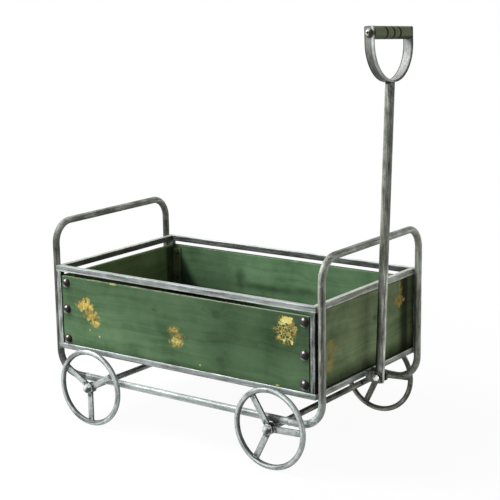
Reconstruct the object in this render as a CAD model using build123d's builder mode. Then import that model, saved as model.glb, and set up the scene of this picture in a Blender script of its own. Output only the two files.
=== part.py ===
from build123d import *
import os
from math import cos, radians, sin

os.makedirs("parts", exist_ok=True)

# A garden wagon planter: a boarded box inside a welded cage of square tube, carried by a round-tube frame
# with a hoop at each end, on four spoked wheels, with a hinged pull handle.
# +X is the handle end, +Y the left side and +Z up. The ground is at Z = 0. All sizes are in millimetres.

# Cage of square tube
cage_length = 532
cage_width = 316
cage_bottom = 124
cage_top = 271
bar = 10
bar_wall = 1.2
bar_corner = 1.5

# Frame of round tube and the axles below it, which sit a little behind the middle of the cage
tube = 12
tube_wall = 1.2
hoop_height = 349
hoop_width = 298
hoop_bend = 36
foot_bend = 40
foot_tail = 20
axle = 10
wheelbase = 375
axle_setback = 1

# Wheels: a ring of round bar, flat spokes and a plain hub that turns on the axle
wheel_radius = 67
wheel_offset = 168
rim_bar = 9
spoke_width = 10
spoke_thickness = 3.5
spoke_count = 3
hub_diameter = 18
hub_length = 9
running_gap = 0.08
side_gap = 0.3
collar_diameter = 18
collar_thickness = 2
washer_diameter = 17
washer_thickness = 1.2
stud = 6
stud_length = 5.5
cap_flats = 13
cap_hex_height = 4
cap_height = 9
rest_turn = {"front_right": 3, "front_left": 4, "rear_right": 30, "rear_left": 55}

# Boards of the box, the steel angles in its corners and the bars that carry its floor
board = 10
board_recess = 1
board_gap = 1.5
board_edge = 1
board_top_gap = 7
end_top_gap = {"front": 0.5, "rear": 8.5}
angle_leg = 20
angle_thickness = 2
angle_top_drop = 4
floor_thickness = 10
floor_gap = 0.5
bearer_width = 20
bearer_thickness = 3
bearer_places = (-170, 0, 170)

# Dome-head bolts through the side boards and the corner angles, drilled a little unevenly
bolt = 6
bolt_reach = 245
bolt_heights = {"front": (145.5, 193, 245), "rear": (143, 196, 242.5)}
dome_diameter = 17.5
dome_height = 5.5
nut_flats = 10
nut_height = 5
bolt_spare = 1.5
hole_gap = 0.1
seat_gap = 0.02

# Hinge at the foot of the pull handle
pivot_reach = 20
pivot_height = 125.5
pivot_bolt_diameter = 6
pivot_gap = 0.05
pivot_head = 11
pivot_head_height = 5.5
clevis_length = 28
clevis_height = 18
clevis_thickness = 3
clevis_corner = 3
clevis_gap = 0.5

# Pull handle: the tube leans a little forward, and the bow is welded on a little out of true
handle_diameter = 15
handle_wall = 1.5
handle_length = 470
handle_foot = 10.5
handle_lean = radians(1.8)
bow_lean = radians(-3.3)
bow_roll = radians(2.9)
bow_half_width = 60
bow_height = 84.5
strap_width = 16
strap = 3
strap_corner = 3
grip_diameter = 20
grip_end_bevel = 1.5
groove_places = (-21, 0, 19)
groove_half_width = 2
groove_depth = 1.6
screw = 5
screw_length = 18
screw_head = 13
screw_head_height = 4.5
cross_width = 1.6
cross_length = 5.5
cross_depth = 1.8

# Places that follow from the sizes above
half_length = cage_length / 2
half_width = cage_width / 2
rail_height = wheel_radius + axle / 2 + tube / 2
hoop_reach = half_length + tube / 2
rail_half = hoop_reach - foot_bend - foot_tail
rear_reach = half_length + tube
handle_reach = half_length + pivot_reach
front_reach = handle_reach + handle_length * sin(handle_lean) + strap_width / 2 * cos(bow_lean)
middle = (rear_reach - front_reach) / 2
axle_middle = middle - axle_setback
board_bottom = cage_bottom + bar
board_height = cage_top - bar - board_top_gap - board_bottom
board_middle = board_bottom + board_height / 2
side_outside = half_width - board_recess
side_inside = side_outside - board
end_inside = half_length - board_recess - board
side_board_half = half_length - bar - board_gap
end_board_half = half_width - bar - board_gap
floor_bottom = cage_bottom + bearer_thickness
floor_top = floor_bottom + floor_thickness
floor_half_length = end_inside - angle_thickness - floor_gap
floor_half_width = side_inside - angle_thickness - floor_gap
notch_length = angle_leg - angle_thickness
notch_width = nut_height + bolt_spare + floor_gap
angle_bottom = floor_top + floor_gap
angle_height = board_bottom + board_height - angle_top_drop - angle_bottom
axle_half = wheel_offset + hub_length / 2 + side_gap
collar_outside = wheel_offset - hub_length / 2 - side_gap
cap_seat = axle_half + washer_thickness
clevis_inside = handle_diameter / 2 + clevis_gap
clevis_outside = clevis_inside + clevis_thickness

# The bow in its own plane is a half circle with straight arms, and the grip fills the width between them
quarter_turn = 90
arm_inside = bow_half_width - strap
grip_radius = grip_diameter / 2
grip_height = bow_height - grip_radius

# The pivot, the line of the handle tube and the flat of the bow
pivot_point = Vector(middle + handle_reach, 0, pivot_height)
tube_line = Vector(sin(handle_lean), 0, cos(handle_lean))
bow_base = pivot_point + tube_line * handle_length
bow_across = Vector(0, cos(bow_roll), -sin(bow_roll))
bow_rise = Vector(0, sin(bow_roll), cos(bow_roll))
bow_normal = Vector(cos(bow_lean), 0, 0) - bow_rise * sin(bow_lean)
bow_plane = Plane(origin=bow_base, x_dir=bow_across, z_dir=bow_normal)
grip_centre = bow_base + bow_plane.y_dir * grip_height

ends = {"front": 1, "rear": -1}
sides = {"right": -1, "left": 1}


def save(piece, name):
    piece.part.label = name
    export_step(piece.part, f"parts/{name}.step")


def hoop(name, end):
    # One bent tube: out and up from a lower rail, across at hand height, and down to the other rail
    tail = middle + end * rail_half
    x = middle + end * hoop_reach
    y = hoop_width / 2
    top = hoop_height - tube / 2
    with BuildPart() as bent_tube:
        with BuildLine() as path:
            FilletPolyline(
                (tail, -y, rail_height),
                (x, -y, rail_height),
                (x, -y, top),
                (x, y, top),
                (x, y, rail_height),
                (tail, y, rail_height),
                radius=[foot_bend, hoop_bend, hoop_bend, foot_bend],
            )
        with BuildSketch(Plane(origin=path.line @ 0, z_dir=path.line % 0)):
            Circle(tube / 2)
            Circle(tube / 2 - tube_wall, mode=Mode.SUBTRACT)
        sweep()
    save(bent_tube, name)


def lower_rail(name, side):
    start = (middle - rail_half, side * hoop_width / 2, rail_height)
    with BuildPart() as rail:
        with BuildSketch(Plane(origin=start, z_dir=(1, 0, 0))):
            Circle(tube / 2)
            Circle(tube / 2 - tube_wall, mode=Mode.SUBTRACT)
        extrude(amount=2 * rail_half)
    save(rail, name)


def square_section():
    RectangleRounded(bar, bar, bar_corner)
    Rectangle(bar - 2 * bar_wall, bar - 2 * bar_wall, mode=Mode.SUBTRACT)


def ring_rail(name, run, inward, outer_middle, length):
    # A rail of a ring with mitred corners; outer_middle is the middle of its outer face
    with BuildPart() as rail:
        start = outer_middle + inward * bar / 2 - run * length / 2
        with BuildSketch(Plane(origin=start, x_dir=inward, z_dir=run)):
            square_section()
        extrude(amount=length)
        for direction in (run, run * -1):
            corner = outer_middle + direction * length / 2
            split(bisect_by=Plane(origin=corner, z_dir=direction + inward), keep=Keep.BOTTOM)
    save(rail, name)


def corner_post(name, end, side):
    foot = (middle + end * (half_length - bar / 2), side * (half_width - bar / 2), board_bottom)
    with BuildPart() as post:
        with BuildSketch(Plane(origin=foot)):
            square_section()
        extrude(amount=cage_top - cage_bottom - 2 * bar)
    save(post, name)


def board_plane(side, depth):
    # The flat of a side board at a distance from the middle, looking out of the box
    return Plane(origin=(middle, side * depth, board_middle), x_dir=(1, 0, 0), z_dir=(0, side, 0))


def bolt_spots(side, end_names):
    # Bolt places in a board plane, whose own y points down on the left side and up on the right
    return [
        (ends[end_name] * bolt_reach, side * (board_middle - height))
        for end_name in end_names
        for height in bolt_heights[end_name]
    ]


def side_board(name, side):
    with BuildPart() as panel:
        with BuildSketch(board_plane(side, side_inside)):
            Rectangle(2 * side_board_half, board_height)
        extrude(amount=board)
        chamfer(panel.edges().filter_by(Axis.X), board_edge)
        with BuildSketch(board_plane(side, side_inside)):
            with Locations(*bolt_spots(side, ends)):
                Circle(bolt / 2 + hole_gap)
        extrude(amount=board, mode=Mode.SUBTRACT)
    save(panel, name)


def end_board(name, end_name):
    # The front board fills the space below its top rail, and the rear one stops short of it
    end = ends[end_name]
    height = cage_top - bar - end_top_gap[end_name] - board_bottom
    centre = (middle + end * end_inside, 0, board_bottom + height / 2)
    with BuildPart() as panel:
        with BuildSketch(Plane(origin=centre, x_dir=(0, 1, 0), z_dir=(end, 0, 0))):
            Rectangle(2 * end_board_half, height)
        extrude(amount=board)
        chamfer(panel.edges().filter_by(Axis.Y), board_edge)
    save(panel, name)


def corner_angle(name, end_name, side):
    # A steel angle in a corner of the box: one leg behind the side board, one behind the end board
    end = ends[end_name]
    inner_corner = (middle + end * end_inside, side * side_inside, angle_bottom)
    with BuildPart() as angle:
        with BuildSketch(Plane(origin=inner_corner)):
            with Locations((-end * angle_leg / 2, -side * angle_leg / 2)):
                Rectangle(angle_leg, angle_leg)
            hollow = angle_leg - angle_thickness
            with Locations((-end * (angle_leg - hollow / 2), -side * (angle_leg - hollow / 2))):
                Rectangle(hollow, hollow, mode=Mode.SUBTRACT)
        extrude(amount=angle_height)
        with BuildSketch(board_plane(side, side_inside)):
            with Locations(*bolt_spots(side, [end_name])):
                Circle(bolt / 2 + hole_gap)
        extrude(amount=-angle_thickness, mode=Mode.SUBTRACT)
    save(angle, name)


def domed_section(head, head_height, shank, length):
    # Half the section of a domed head on its seat, with a plain shank behind it
    with BuildLine() as outline:
        TangentArc((head_height, 0), (0, head / 2), tangent=(0, 1))
        Polyline((0, head / 2), (0, shank / 2), (-length, shank / 2), (-length, 0), (head_height, 0))
    make_face(outline.edges())


def dome_bolts(name, side):
    length = board + angle_thickness + nut_height + bolt_spare
    outward = Vector(0, side, 0)
    with BuildPart() as bolts:
        for end_name, end in ends.items():
            for height in bolt_heights[end_name]:
                seat = Vector(middle + end * bolt_reach, side * side_outside, height)
                with BuildSketch(Plane(origin=seat, x_dir=outward, z_dir=(1, 0, 0))):
                    domed_section(dome_diameter, dome_height, bolt, length)
                revolve(axis=Axis(seat, outward))
    save(bolts, name)


def hexagon(flats):
    RegularPolygon(flats / 2, 6, major_radius=False)


def bolt_nuts(name, side):
    with BuildPart() as nuts:
        with BuildSketch(board_plane(side, side_inside - angle_thickness)):
            with Locations(*bolt_spots(side, ends)):
                hexagon(nut_flats)
                Circle(bolt / 2 + seat_gap, mode=Mode.SUBTRACT)
        extrude(amount=-nut_height)
    save(nuts, name)


def axle_plane(end, side, depth):
    return Plane(origin=(axle_middle + end * wheelbase / 2, side * depth, wheel_radius), z_dir=(0, side, 0))


def axle_bar(name, end):
    # A bar with a fixed collar inside each wheel and a thinner stud outside it
    with BuildPart() as shaft:
        for side in sides.values():
            with BuildSketch(axle_plane(end, side, 0)):
                Circle(axle / 2)
            extrude(amount=axle_half)
            with BuildSketch(axle_plane(end, side, collar_outside)):
                Circle(collar_diameter / 2)
            extrude(amount=-collar_thickness)
            with BuildSketch(axle_plane(end, side, axle_half)):
                Circle(stud / 2)
            extrude(amount=stud_length)
    save(shaft, name)


def wheel(corner, end, side):
    centre = Vector(axle_middle + end * wheelbase / 2, side * wheel_offset, wheel_radius)
    spin = Axis(centre, (0, 1, 0))
    across = Plane(origin=centre, x_dir=(1, 0, 0), z_dir=(0, 0, 1))
    flat = Plane(origin=centre, x_dir=(1, 0, 0), z_dir=(0, -1, 0))
    rim_line = wheel_radius - rim_bar / 2
    with BuildPart() as rim:
        with BuildSketch(across):
            with Locations((rim_line, 0)):
                Circle(rim_bar / 2)
        revolve(axis=spin)
    save(rim, f"{corner}_rim")

    with BuildPart() as hub:
        with BuildSketch(flat):
            Circle(hub_diameter / 2)
            Circle(axle / 2 + running_gap, mode=Mode.SUBTRACT)
        extrude(amount=hub_length / 2, both=True)
    save(hub, f"{corner}_hub")

    # The spokes are drawn from inside the hub to inside the rim, and cut back to sit against both
    with BuildPart() as spokes:
        with BuildSketch(flat):
            with PolarLocations(rim_line / 2, spoke_count, rest_turn[corner]):
                Rectangle(rim_line, spoke_width)
        extrude(amount=spoke_thickness / 2, both=True)
        with BuildSketch(flat):
            Circle(hub_diameter / 2)
        extrude(amount=hub_length / 2, both=True, mode=Mode.SUBTRACT)
        with BuildSketch(across):
            with Locations((rim_line, 0)):
                Circle(rim_bar / 2)
        revolve(axis=spin, mode=Mode.SUBTRACT)
    save(spokes, f"{corner}_spokes")


def wheel_washers(name):
    with BuildPart() as washers:
        for end in ends.values():
            for side in sides.values():
                with BuildSketch(axle_plane(end, side, axle_half)):
                    Circle(washer_diameter / 2)
                    Circle(stud / 2 + seat_gap, mode=Mode.SUBTRACT)
                extrude(amount=washer_thickness)
    save(washers, name)


def cap_nuts(name):
    dome_radius = cap_flats / 2
    with BuildPart() as caps:
        for end in ends.values():
            for side in sides.values():
                seat = axle_plane(end, side, cap_seat)
                with BuildSketch(seat):
                    hexagon(cap_flats)
                extrude(amount=cap_hex_height)
                with BuildSketch(Plane(origin=seat.origin, x_dir=seat.z_dir, z_dir=(1, 0, 0))):
                    with BuildLine():
                        TangentArc((cap_height, 0), (cap_hex_height, dome_radius), tangent=(0, 1))
                        Polyline((cap_hex_height, dome_radius), (cap_hex_height, 0), (cap_height, 0))
                    make_face()
                revolve(axis=Axis(seat.origin, seat.z_dir))
                with BuildSketch(seat):
                    Circle(stud / 2 + seat_gap)
                extrude(amount=stud_length - washer_thickness + seat_gap, mode=Mode.SUBTRACT)
    save(caps, name)


def clevis_plate(name, side):
    face = (middle + half_length + clevis_length / 2, side * clevis_inside, pivot_height)
    with BuildPart() as plate:
        with BuildSketch(Plane(origin=face, x_dir=(1, 0, 0), z_dir=(0, side, 0))):
            Rectangle(clevis_length, clevis_height)
            with Locations((pivot_reach - clevis_length / 2, 0)):
                Circle(pivot_bolt_diameter / 2 + hole_gap, mode=Mode.SUBTRACT)
        extrude(amount=clevis_thickness)
        fillet(plate.edges().filter_by(Axis.Y).group_by(Axis.X)[-1], clevis_corner)
    save(plate, name)


for end_name, end in ends.items():
    hoop(f"{end_name}_hoop", end)
    axle_bar(f"{end_name}_axle", end)
    end_board(f"{end_name}_end_board", end_name)
    for side_name, side in sides.items():
        corner_post(f"{end_name}_{side_name}_post", end, side)
        corner_angle(f"{end_name}_{side_name}_angle", end_name, side)
        wheel(f"{end_name}_{side_name}", end, side)

for side_name, side in sides.items():
    lower_rail(f"{side_name}_lower_rail", side)
    side_board(f"{side_name}_side_board", side)
    dome_bolts(f"{side_name}_dome_bolts", side)
    bolt_nuts(f"{side_name}_bolt_nuts", side)
    clevis_plate(f"{side_name}_clevis_plate", side)

for level_name, level in {"top": cage_top - bar / 2, "bottom": cage_bottom + bar / 2}.items():
    for end_name, end in ends.items():
        outer = Vector(middle + end * half_length, 0, level)
        ring_rail(f"{end_name}_{level_name}_rail", Vector(0, 1, 0), Vector(-end, 0, 0), outer, cage_width)
    for side_name, side in sides.items():
        outer = Vector(middle, side * half_width, level)
        ring_rail(f"{side_name}_{level_name}_rail", Vector(1, 0, 0), Vector(0, -side, 0), outer, cage_length)

wheel_washers("wheel_washers")
cap_nuts("cap_nuts")

# Flat bars welded across between the long bottom rails
with BuildPart() as floor_bearers:
    with BuildSketch(Plane(origin=(middle, 0, cage_bottom))):
        with Locations(*[(place, 0) for place in bearer_places]):
            Rectangle(bearer_width, cage_width - 2 * bar)
    extrude(amount=bearer_thickness)
save(floor_bearers, "floor_bearers")

# The floor lies loose on the bearers, with its corners notched to clear the bolt ends
with BuildPart() as floor_board:
    with BuildSketch(Plane(origin=(middle, 0, floor_bottom))):
        Rectangle(2 * floor_half_length, 2 * floor_half_width)
        with GridLocations(2 * floor_half_length - notch_length, 2 * floor_half_width - notch_width, 2, 2):
            Rectangle(notch_length, notch_width, mode=Mode.SUBTRACT)
    extrude(amount=floor_thickness)
save(floor_board, "floor_board")

# The pivot bolt is held by the clevis, with its round head on the right and its nut on the left
with BuildPart() as pivot_bolt:
    head_seat = pivot_point - Vector(0, clevis_outside, 0)
    length = 2 * clevis_outside + nut_height + bolt_spare
    with BuildSketch(Plane(origin=head_seat, x_dir=(0, -1, 0), z_dir=(1, 0, 0))):
        domed_section(pivot_head, pivot_head_height, pivot_bolt_diameter, length)
    revolve(axis=Axis(head_seat, (0, 1, 0)))
save(pivot_bolt, "pivot_bolt")

with BuildPart() as pivot_nut:
    with BuildSketch(Plane(origin=pivot_point + Vector(0, clevis_outside, 0), z_dir=(0, 1, 0))):
        hexagon(nut_flats)
        Circle(pivot_bolt_diameter / 2 + seat_gap, mode=Mode.SUBTRACT)
    extrude(amount=nut_height)
save(pivot_nut, "pivot_nut")

# The handle tube turns on the pivot bolt; its top is cut to sit against the round bottom of the bow
with BuildPart() as handle_tube:
    with BuildSketch(Plane(origin=pivot_point - tube_line * handle_foot, z_dir=tube_line)):
        Circle(handle_diameter / 2)
        Circle(handle_diameter / 2 - handle_wall, mode=Mode.SUBTRACT)
    extrude(amount=handle_foot + handle_length + strap)
    with BuildSketch(Plane(origin=pivot_point, z_dir=(0, 1, 0))):
        Circle(pivot_bolt_diameter / 2 + pivot_gap)
    extrude(amount=handle_diameter, both=True, mode=Mode.SUBTRACT)
    with BuildSketch(bow_plane):
        with Locations((0, bow_half_width)):
            Circle(bow_half_width)
    extrude(amount=handle_diameter, both=True, mode=Mode.SUBTRACT)
save(handle_tube, "handle_tube")

# The bow: one strap bent to a U, with a screw hole at the top of each arm
with BuildPart() as handle_bow:
    with BuildSketch(bow_plane):
        with BuildLine():
            outer_bend = JernArc((0, 0), (1, 0), bow_half_width, quarter_turn)
            arm = Polyline(
                outer_bend @ 1,
                (bow_half_width, bow_height),
                (arm_inside, bow_height),
                (arm_inside, bow_half_width),
            )
            inner_bend = JernArc(arm @ 1, (0, -1), arm_inside, -quarter_turn)
            Line(inner_bend @ 1, (0, 0))
        make_face()
        mirror(about=Plane.YZ)
    extrude(amount=strap_width / 2, both=True)
    fillet(handle_bow.edges().filter_by(Axis(bow_base, bow_across)), strap_corner)
    with BuildSketch(Plane(origin=grip_centre, z_dir=bow_across)):
        Circle(screw / 2 + hole_gap)
    extrude(amount=bow_half_width, both=True, mode=Mode.SUBTRACT)
save(handle_bow, "handle_bow")

# The turned wooden grip, with bevelled ends, cut rings and a hole in each end for a screw
with BuildPart() as handle_grip:
    with BuildSketch(Plane(origin=grip_centre, x_dir=bow_across, z_dir=bow_normal)):
        with Locations((0, grip_radius / 2)):
            half_section = Rectangle(2 * arm_inside, grip_radius)
        chamfer(half_section.vertices().group_by(Axis.Y)[-1], grip_end_bevel)
        for place in groove_places:
            with BuildLine():
                Polyline(
                    (place - groove_half_width, grip_radius),
                    (place, grip_radius - groove_depth),
                    (place + groove_half_width, grip_radius),
                    close=True,
                )
            make_face(mode=Mode.SUBTRACT)
    revolve(axis=Axis(grip_centre, bow_across))
    for direction in (bow_across, bow_across * -1):
        with BuildSketch(Plane(origin=grip_centre + direction * bow_half_width, z_dir=direction)):
            Circle(screw / 2 + seat_gap)
        extrude(amount=-screw_length - seat_gap, mode=Mode.SUBTRACT)
save(handle_grip, "handle_grip")

# Round-head screws with a cross recess, one through each arm of the bow into the grip
with BuildPart() as grip_screws:
    for direction in (bow_across, bow_across * -1):
        seat = grip_centre + direction * bow_half_width
        with BuildSketch(Plane(origin=seat, x_dir=direction, z_dir=bow_normal)):
            domed_section(screw_head, screw_head_height, screw, screw_length)
        revolve(axis=Axis(seat, direction))
        with BuildSketch(Plane(origin=seat + direction * screw_head_height, z_dir=direction)):
            Rectangle(cross_length, cross_width)
            Rectangle(cross_width, cross_length)
        extrude(amount=-cross_depth, mode=Mode.SUBTRACT)
save(grip_screws, "grip_screws")
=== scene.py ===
import bpy
import bmesh
import math
import random
from mathutils import Matrix, Vector


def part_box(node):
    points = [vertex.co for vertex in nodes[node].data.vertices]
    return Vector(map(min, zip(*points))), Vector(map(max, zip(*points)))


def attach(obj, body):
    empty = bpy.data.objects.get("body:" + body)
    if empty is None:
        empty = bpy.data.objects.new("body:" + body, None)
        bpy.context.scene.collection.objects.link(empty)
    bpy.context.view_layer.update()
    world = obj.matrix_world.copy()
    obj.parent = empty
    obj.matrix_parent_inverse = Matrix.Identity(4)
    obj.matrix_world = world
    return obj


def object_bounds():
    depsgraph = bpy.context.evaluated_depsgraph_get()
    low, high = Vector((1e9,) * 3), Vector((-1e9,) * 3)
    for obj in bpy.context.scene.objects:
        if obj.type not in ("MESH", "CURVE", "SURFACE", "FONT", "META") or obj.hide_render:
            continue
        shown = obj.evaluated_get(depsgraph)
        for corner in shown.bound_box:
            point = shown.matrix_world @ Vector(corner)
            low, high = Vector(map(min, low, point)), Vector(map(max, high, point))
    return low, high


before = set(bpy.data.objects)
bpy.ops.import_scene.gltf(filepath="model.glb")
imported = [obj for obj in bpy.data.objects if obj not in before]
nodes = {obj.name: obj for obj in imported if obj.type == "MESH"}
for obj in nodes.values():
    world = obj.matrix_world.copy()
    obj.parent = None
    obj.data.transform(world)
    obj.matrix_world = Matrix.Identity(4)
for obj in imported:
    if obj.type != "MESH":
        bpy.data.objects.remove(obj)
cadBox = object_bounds()
corners = [end + "_" + side for end in ("front", "rear") for side in ("right", "left")]
print("frame loaded,", len(nodes), "CAD pieces")

# the cage's middle, read from the side board that fills it from end to end
boardLow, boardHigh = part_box("right_side_board")
cageMiddle = (boardLow.x + boardHigh.x) / 2
skyward = (0.0, 0.0, 1.0)
towardsFarFront = (0.81, 0.586, 0.0)  # level directions across the wagon, corner to corner
towardsNearRear = (-0.81, -0.586, 0.0)


def middleOf(name):
    low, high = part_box(name)
    return (low + high) / 2


def paint(red, green, blue):  # a colour as picked in a paint program, made linear
    def linear(level):
        level = level / 255
        return level / 12.92 if level <= 0.04045 else ((level + 0.055) / 1.055) ** 2.4
    return (linear(red), linear(green), linear(blue), 1.0)


def nodeMaths(operation, swapped=False):
    def work(self, *others):
        terms = (*others, self) if swapped else (self, *others)
        return self.math(operation, *terms)
    return work


class Wire:  # one shader output, which takes part in plain arithmetic
    __add__, __radd__ = nodeMaths("ADD"), nodeMaths("ADD", True)
    __sub__, __rsub__ = nodeMaths("SUBTRACT"), nodeMaths("SUBTRACT", True)
    __mul__, __rmul__ = nodeMaths("MULTIPLY"), nodeMaths("MULTIPLY", True)
    __truediv__, __pow__, __abs__ = nodeMaths("DIVIDE"), nodeMaths("POWER"), nodeMaths("ABSOLUTE")
    most, least = nodeMaths("MAXIMUM"), nodeMaths("MINIMUM")

    def __init__(self, sheet, node, out):
        self.sheet = sheet
        self.node = node
        self.socket = node.outputs[out]

    def out(self, name):
        return Wire(self.sheet, self.node, name)

    def math(self, operation, *terms):
        return self.sheet.add("Math", dict(enumerate(terms)), {"operation": operation})

    def step(self, low, high):  # 0 below low, 1 above high, eased between
        return self.sheet.add("MapRange", {"Value": self, "From Min": low, "From Max": high},
                              {"interpolation_type": "SMOOTHSTEP"})


class Sheet:  # a node tree that is filled from an empty one
    def __init__(self, tree):
        self.tree = tree
        tree.nodes.clear()

    def add(self, kind, inputs=None, settings=None, out=0):
        node = self.tree.nodes.new("ShaderNode" + kind)
        for name, value in (settings or {}).items():
            if name == "stops":
                stops = node.color_ramp.elements
                while len(stops) < len(value):
                    stops.new(1.0)
                for stop, (place, colour) in zip(stops, value):
                    stop.position = place
                    stop.color = colour
            else:
                setattr(node, name, value)
        for name, value in (inputs or {}).items():
            if isinstance(value, Wire):
                self.tree.links.new(value.socket, node.inputs[name])
            else:
                node.inputs[name].default_value = value
        return Wire(self, node, out) if node.outputs else node

    def mix(self, factor, first, second):
        return self.add("Mix", {0: factor, 6: first, 7: second}, {"data_type": "RGBA"}, 2)

    def ramp(self, factor, stops):
        return self.add("ValToRGB", {"Fac": factor}, {"stops": stops})

    def dim(self, colour, level):
        return self.add("VectorMath", {0: colour, "Scale": level}, {"operation": "SCALE"})

    def vector(self, operation, *terms):
        return self.add("VectorMath", dict(enumerate(terms)), {"operation": operation})

    def dot(self, first, second):
        return self.vector("DOT_PRODUCT", first, second).out("Value")

    def length(self, vector):
        return self.vector("LENGTH", vector).out("Value")

    def fromAxle(self, spot, centre):  # square out from a line along Y
        return self.vector("MULTIPLY", self.vector("SUBTRACT", spot, centre), (1.0, 0.0, 1.0))

    def spot(self):  # a place on the piece, with the way it faces as another output
        return self.add("TexCoord", out="Object")

    def parts(self, vector, axes="XYZ"):
        apart = self.add("SeparateXYZ", {0: vector})
        return [apart.out(axis) for axis in axes]

    def part(self, vector, axis):
        return self.parts(vector, axis)[0]

    def join(self, x, y, z):
        return self.add("CombineXYZ", {0: x, 1: y, 2: z})

    def noise(self, spot, scale, detail=4.0, roughness=0.55):
        return self.add("TexNoise", {"Vector": spot, "Scale": scale, "Detail": detail,
                                     "Roughness": roughness})

    def rounded(self, radius):  # the way a piece faces, as if its edges were round
        return self.add("Bevel", {"Radius": radius}, {"samples": 6})

    def edges(self, rounded):  # 1 along the edges of a piece, 0 on its faces
        flat = self.add("NewGeometry", out="Normal")
        return (1 - self.dot(rounded, flat)).step(0.01, 0.22)


def reachOf(across, up):  # distance from a centre
    return (across * across + up * up) ** 0.5


def newFinish(name):
    material = bpy.data.materials.new(name)
    material.use_nodes = True
    return material, Sheet(material.node_tree)


def closeFinish(sheet, inputs, height, normal, depth, strength):
    bump = sheet.add("Bump", {"Height": height, "Distance": depth, "Strength": strength, "Normal": normal})
    shader = sheet.add("BsdfPrincipled", dict(inputs, Normal=bump))
    sheet.add("OutputMaterial", {"Surface": shader})


def placed(name, data):
    thing = bpy.data.objects.new(name, data)
    bpy.context.scene.collection.objects.link(thing)
    return thing


def dress(material, *names):
    for name in names:
        for slot in nodes[name].material_slots:
            slot.material = material


# Antique metal: dark pewter paint, with silver rubbed over it along each bar
pewter = {
    "under": paint(62, 63, 56),
    "cool": paint(194, 203, 201),  # silver of the cage, the lower rails and the wheels
    "warm": paint(187, 192, 180),  # silver of the hoops and the pull
    "bare": paint(198, 201, 198),  # silver of the bow
    "dull": paint(178, 180, 168),  # silver of the far wheels, the front axle and the hinge
    "runLength": 22.0,  # how slowly the rubbing changes along a bar, per metre
    "runWidth": 420.0,  # and across it
    "edgeRadius": 0.0013,
    "bumpDepth": 0.0004,
}


def barFlow(x, y, z):
    def flow(sheet, spot):
        return sheet.vector("MULTIPLY", spot, (x, y, z))
    return flow


long, wide = pewter["runLength"], pewter["runWidth"]
alongX = barFlow(long, wide, wide)
alongY = barFlow(wide, long, wide)
alongZ = barFlow(wide, wide, long)
anyWay = barFlow(wide, wide, wide)

hoop = {
    "footBend": (0.088, 0.122),  # heights of the bends from the feet to the legs
    "barBend": (0.3, 0.338),  # and from the legs to the top bar
    "nearDarkReflection": (0.6, -0.8, 0.0),  # where the painted dark reflection on the near leg faces
}


def hoopFlow(sheet, spot):  # up the legs, across the top bar and along the feet
    height = sheet.part(spot, "Z")
    bar = height.step(*hoop["barBend"])
    foot = 1 - height.step(*hoop["footBend"])
    upper = sheet.mix(bar, alongZ(sheet, spot), alongY(sheet, spot))
    return sheet.mix(foot, upper, alongX(sheet, spot))


def wheelFlow(corner, radial):  # round the rim, or out along the spokes
    middle = middleOf(corner + "_rim")

    def flow(sheet, spot):
        across, deep, up = sheet.parts(sheet.vector("SUBTRACT", spot, middle))
        reach = reachOf(across, up)
        if radial:
            turn = up.math("ARCTAN2", up, across)
            return sheet.join(turn * 14.0, deep * wide, reach * long)
        slow = sheet.vector("MULTIPLY", spot, (long, long, long))
        return sheet.vector("ADD", sheet.join(reach * wide, deep * wide, 0.0), slow)
    return flow


# Tones: how much darker or lighter the metal is from place to place on one piece; many of them paint light
# and shade into the colour
# painted light: faces turned towards one direction are lighter, faces turned away darker
def paintedLightTowards(direction, gain):
    def tone(sheet, spot, facing):
        return 1 + gain * sheet.dot(facing, direction)
    return tone


def hoopLegsPaintedLight(sheet, spot, facing):  # near leg: a mottled painted dark reflection down its outer side; painted highlights along the edges, darker on the far leg's near edge; lighter feet
    across, height = sheet.parts(spot, "YZ")
    band = sheet.dot(facing, hoop["nearDarkReflection"]).step(0.88, 0.98)
    band = band * (0 - across).step(0.05, 0.1) * height.step(0.1, 0.14)
    mottle = sheet.noise(sheet.vector("MULTIPLY", spot, (300.0, 300.0, 70.0)), 1.0, 3.0).step(0.3, 0.62)
    farEdge = sheet.dot(facing, towardsFarFront).step(0.72, 0.96)
    nearEdge = sheet.dot(facing, towardsNearRear).step(0.35, 0.9)
    farLeg = across.step(0.1, 0.14) * (1 - height.step(0.3, 0.33))
    rubbed = 1 + (0.5 + 1.1 * farLeg) * farEdge + (0.45 - 0.85 * farLeg) * nearEdge
    rubbed = rubbed - band * (0.3 + 0.44 * mottle)
    return rubbed * (1.22 - 0.22 * height.step(0.09, 0.14))


def rearHoopBars(sheet, spot, facing):  # a lighter top bar, with painted shade on its underside, on darker legs
    bar = sheet.part(spot, "Z").step(0.315, 0.34)
    under = (0 - sheet.dot(facing, skyward)).step(0.0, 0.6)
    return 0.82 + bar * (0.44 - 0.36 * under)


def roundRailLight(sheet, spot, facing):  # painted light: lighter along the top and the underside, darker between
    upward = sheet.dot(facing, (0.0, 0.26, 0.966))
    middle = 1 - abs(upward).step(0.15, 0.5)
    return 1 + 0.6 * upward.step(0.6, 0.95) - 0.2 * middle + 0.4 * (0 - upward).step(0.3, 0.9)


def upright(sheet, facing):  # the side faces of a rail
    return 1 - abs(sheet.dot(facing, skyward)).step(0.75, 0.95)


def paleLowEdge(sheet, spot, facing):  # the top rails are paler along their lower edge
    up = sheet.part(spot, "Z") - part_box("front_top_rail")[0].z
    return 1 + up.step(-0.001, 0.0) * (1 - up.step(0.0014, 0.0034)) * upright(sheet, facing)


def highEdgeHighlight(sheet, spot, facing):  # and the bottom rails carry a painted highlight along their upper edge
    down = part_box("front_bottom_rail")[1].z - sheet.part(spot, "Z")
    return 1 + 0.75 * (1 - down.step(0.0012, 0.0032)) * upright(sheet, facing)


def mottled(sheet, spot, facing):  # blotches left by the rubbing
    return 0.86 + 0.34 * sheet.noise(spot, 170.0, 3.0, 0.65).step(0.25, 0.75)


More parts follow.
